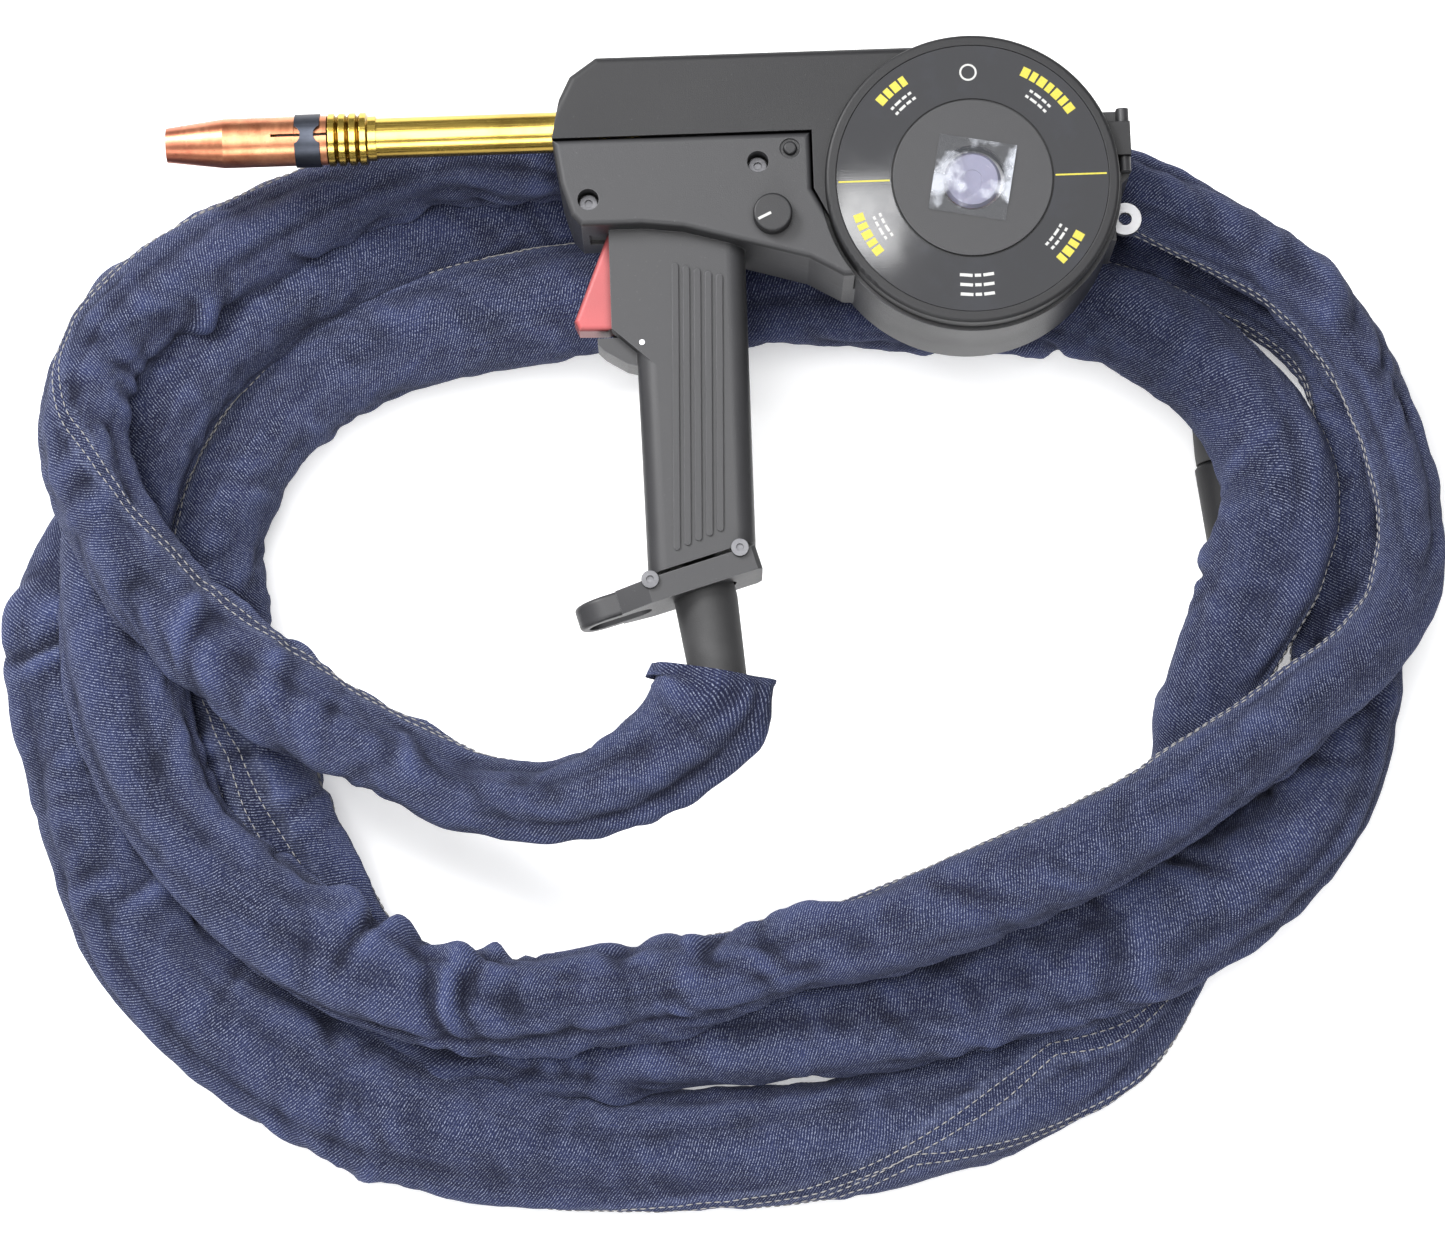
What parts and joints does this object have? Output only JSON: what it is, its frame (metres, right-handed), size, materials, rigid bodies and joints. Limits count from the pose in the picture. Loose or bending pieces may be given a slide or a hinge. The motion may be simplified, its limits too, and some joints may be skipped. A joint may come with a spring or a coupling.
{
  "type": "mig welding torch",
  "caption": "Spool-gun MIG torch with pistol grip, hinged spool lid, wire feed and a long lead coiled in a denim jacket.",
  "frame": {"origin": "centre of the gas nozzle's mouth", "axes": "+X runs along the neck away from the mouth, +Y lies in the gun's flat plane away from the grip, +Z stands up from the surface under the coil"},
  "size_m": [0.6212, 0.4709, 0.117],
  "materials": {
    "copper": "satin drawn copper, heat tinted",
    "spring_steel": "blued spring steel",
    "phenolic": "pressed phenolic",
    "brass": "turned brass",
    "wire_steel": "bright drawn wire",
    "shell_plastic": "fine spark texture",
    "disc_print": "glossy black printed disc",
    "disc_grey": "matte grey",
    "clear_sheet": "clear sheet",
    "pin_steel": "ground steel",
    "spool_plastic": "black moulded spool",
    "hub_plastic": "pale nylon",
    "motor_can": "zinc plated can",
    "gear_case": "die cast",
    "trigger_plastic": "salmon red moulding",
    "switch_plastic": "black moulding",
    "knob_plastic": "black knob with white pointer",
    "screw_steel": "zinc plated",
    "boot_rubber": "moulded rubber",
    "lead_rubber": "smooth rubber sheath",
    "denim": "blue denim with pale double stitching"
  },
  "bodies": {
    "torch": {"nozzle_insulator": "phenolic", "nozzle_adapter": "brass", "neck_tube": "brass", "gas_diffuser": "brass", "contact_tip": "copper", "wire_liner": "wire_steel", "current_block": "brass", "housing_rear": "shell_plastic", "housing_front": "shell_plastic", "door_hinge_pin": "pin_steel", "spool_axle": "hub_plastic", "friction_washer": "pin_steel", "brake_spring": "spring_steel", "spool_nut": "hub_plastic", "drive_motor": "motor_can", "gearbox": "gear_case", "drive_frame": "gear_case", "tension_screw": "pin_steel", "pressure_spring": "spring_steel", "inlet_guide": "brass", "welding_wire": "wire_steel", "trigger_pivot_pin": "pin_steel", "switch_pin": "pin_steel", "trigger_switch": "switch_plastic", "trigger_spring": "spring_steel", "speed_potentiometer": "motor_can", "button_switch": "switch_plastic", "case_screws": "screw_steel", "grip_plate": "shell_plastic", "plate_screws": "screw_steel", "cable_boot": "boot_rubber", "power_lead": "lead_rubber", "hanging_eye": "screw_steel", "torch_lead": "lead_rubber", "denim_jacket": "denim", "lead_free_end": "lead_rubber", "connector_strain_relief": "boot_rubber", "connector_shell": "switch_plastic", "gas_pin": "brass", "control_pins": "brass"},
    "trigger": {"trigger": "trigger_plastic"},
    "knob": {"speed_knob": "knob_plastic"},
    "button": {"push_button": "knob_plastic"},
    "door": {"spool_door": "shell_plastic", "door_disc": "disc_print", "door_centre_disc": "disc_grey", "spool_window": "clear_sheet"},
    "spool": {"wire_spool": "spool_plastic", "wound_wire": "wire_steel"},
    "drive_roll": {"drive_roll": "pin_steel"},
    "pressure_arm": {"pressure_arm": "gear_case"},
    "pressure_roll": {"pressure_roll": "pin_steel"},
    "nozzle": {"gas_nozzle": "copper", "nozzle_clamp_band": "spring_steel"},
    "connector_nut": {"connector_nut": "brass"}
  },
  "joints": [
    {"name": "trigger_pull", "type": "hinge", "parent": "torch", "child": "trigger", "pos_m": [0.187, -0.0495, 0], "axis": [0, 0, 1], "range_deg": [0, 7], "deforming": ["trigger_spring"]},
    {"name": "speed_knob_turn", "type": "hinge", "parent": "torch", "child": "knob", "pos_m": [0.2506, -0.045, 0.026], "axis": [0, 0, 1], "range_deg": [-135, 135]},
    {"name": "button_press", "type": "slide", "parent": "torch", "child": "button", "axis": [0, 0, -1], "range_m": [0, 0.002]},
    {"name": "door_open", "type": "hinge", "parent": "torch", "child": "door", "pos_m": [0.3965, 0, 0.0195], "axis": [0, 1, 0], "range_deg": [0, 100]},
    {"name": "spool_spin", "type": "hinge", "parent": "torch", "child": "spool", "pos_m": [0.333, -0.033, 0], "axis": [0, 0, 1], "continuous": true},
    {"name": "drive_roll_spin", "type": "hinge", "parent": "torch", "child": "drive_roll", "pos_m": [0.222, -0.01248, 0], "axis": [0, 0, 1], "continuous": true},
    {"name": "pressure_arm_lift", "type": "hinge", "parent": "torch", "child": "pressure_arm", "pos_m": [0.203, 0.0132, 0], "axis": [0, 0, 1], "range_deg": [0, 1.8], "deforming": ["pressure_spring"]},
    {"name": "pressure_roll_spin", "type": "hinge", "parent": "pressure_arm", "child": "pressure_roll", "pos_m": [0.222, 0.00948, 0], "axis": [0, 0, 1], "continuous": true},
    {"name": "nozzle_pull", "type": "slide", "parent": "torch", "child": "nozzle", "axis": [-1, 0, 0], "range_m": [0, 0.028]},
    {"name": "connector_nut_spin", "type": "hinge", "parent": "torch", "child": "connector_nut", "pos_m": [0.44735, -0.18545, -0.0705], "axis": [0.1168, -0.9932, 0], "continuous": true}
  ],
  "couplings": [
    {"joint": "drive_roll_spin", "follows": "spool_spin", "ratio": 3.6333},
    {"joint": "pressure_roll_spin", "follows": "spool_spin", "ratio": -4.8444}
  ]
}
